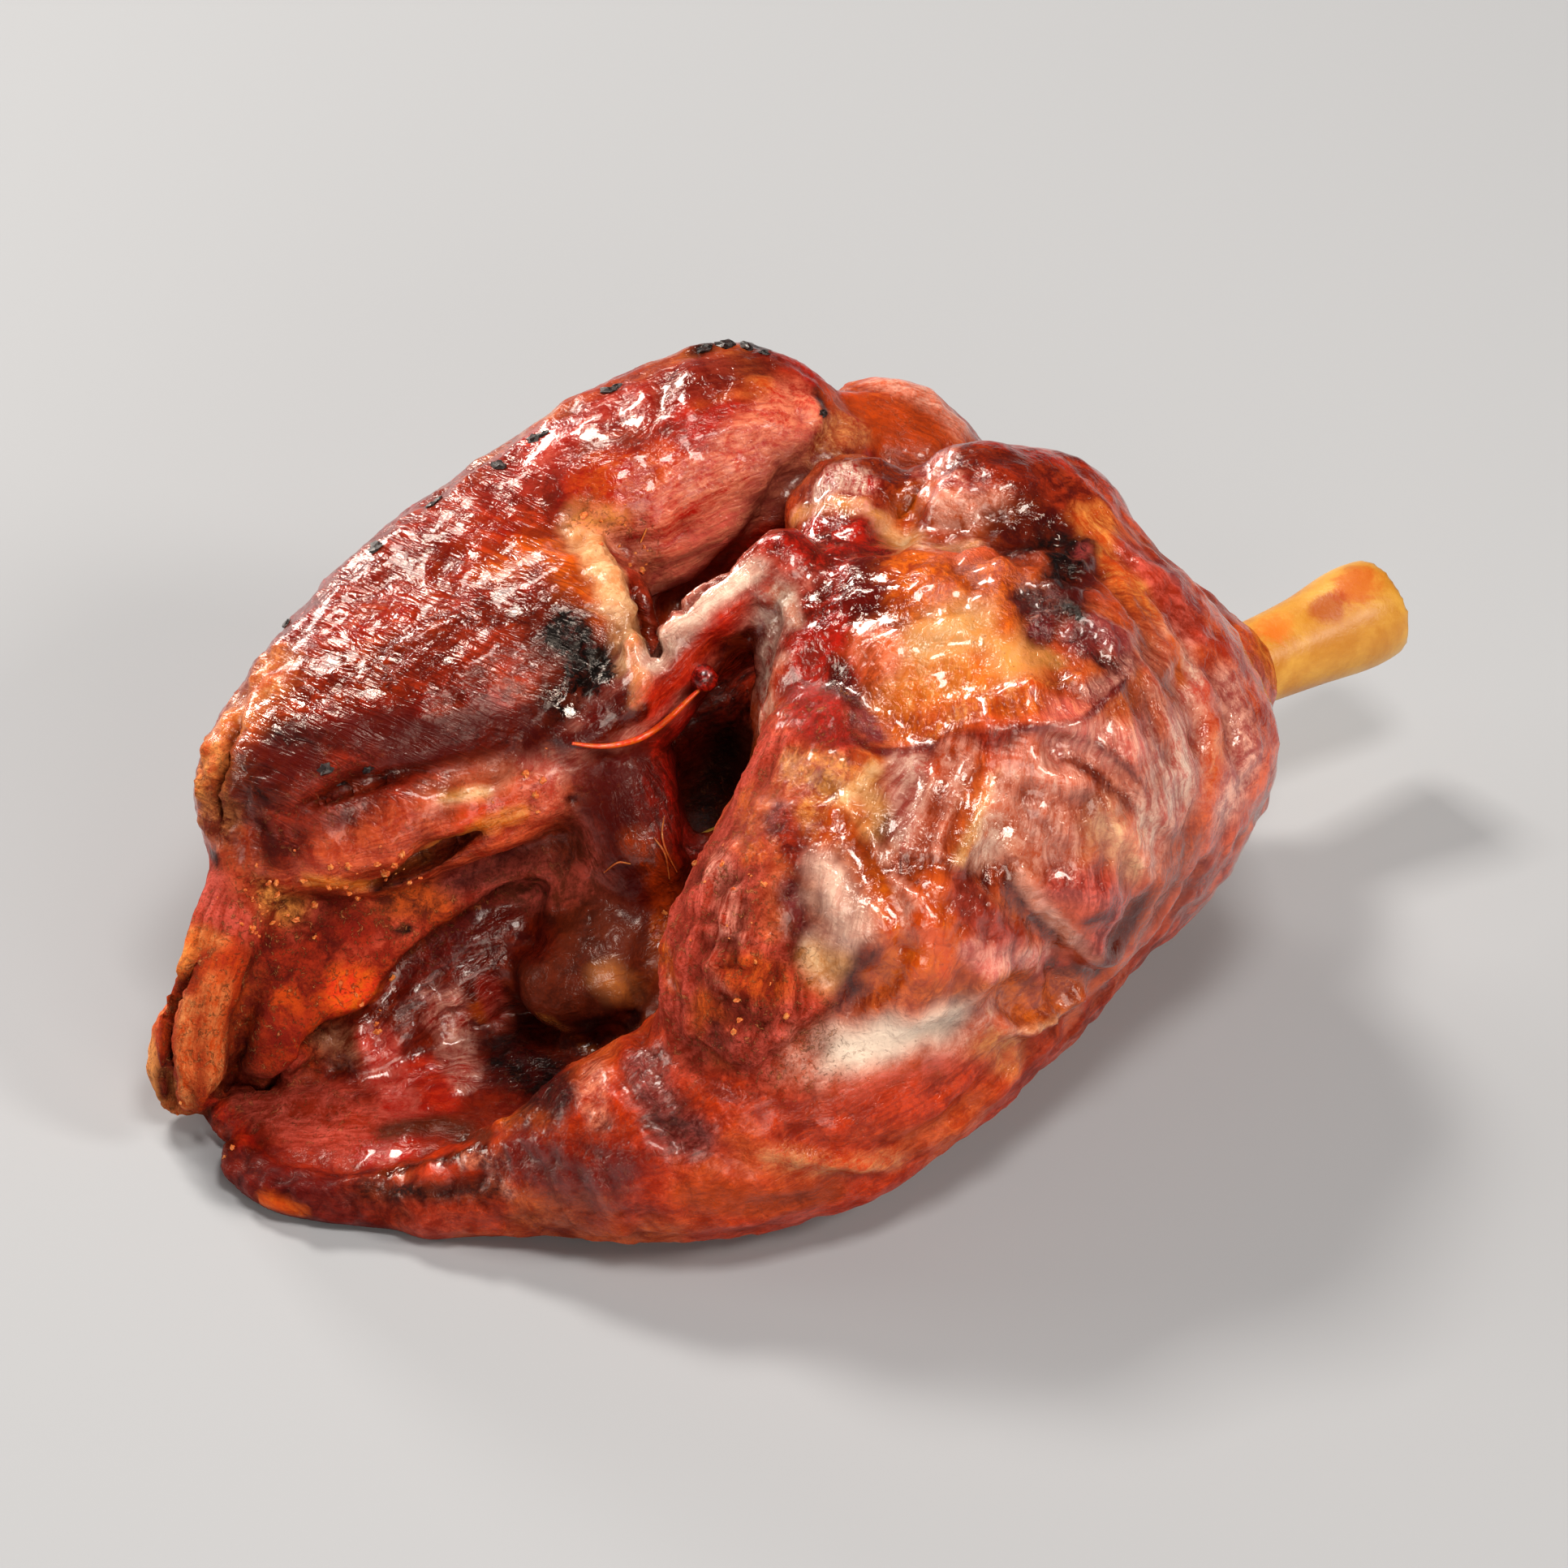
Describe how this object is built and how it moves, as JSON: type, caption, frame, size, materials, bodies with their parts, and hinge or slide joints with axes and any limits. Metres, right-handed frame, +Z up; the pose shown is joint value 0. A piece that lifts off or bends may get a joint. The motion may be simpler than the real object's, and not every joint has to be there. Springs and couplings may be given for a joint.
{
  "type": "roast ham hock",
  "caption": "Roast ham hock lying on its side: glazed meat lobes parted by a deep cleft, with the shank bone standing out of the narrow end.",
  "frame": {"origin": "middle of the hock's box seen from above, on the plane that it rests on", "axes": "+Z up; +X is the longest side, towards the bone's narrow end; the bone runs level, turned 33.7 degrees from +X towards +Y, and the cut end opens towards -X and -Y"},
  "size_m": [0.181, 0.13, 0.082],
  "materials": {
    "roast_meat": "glazed, browned roast skin and meat",
    "bone": "roasted bone, amber, slightly glossy"
  },
  "bodies": {
    "root": {"hock_meat": "roast_meat", "shank_bone": "bone"}
  },
  "joints": []
}
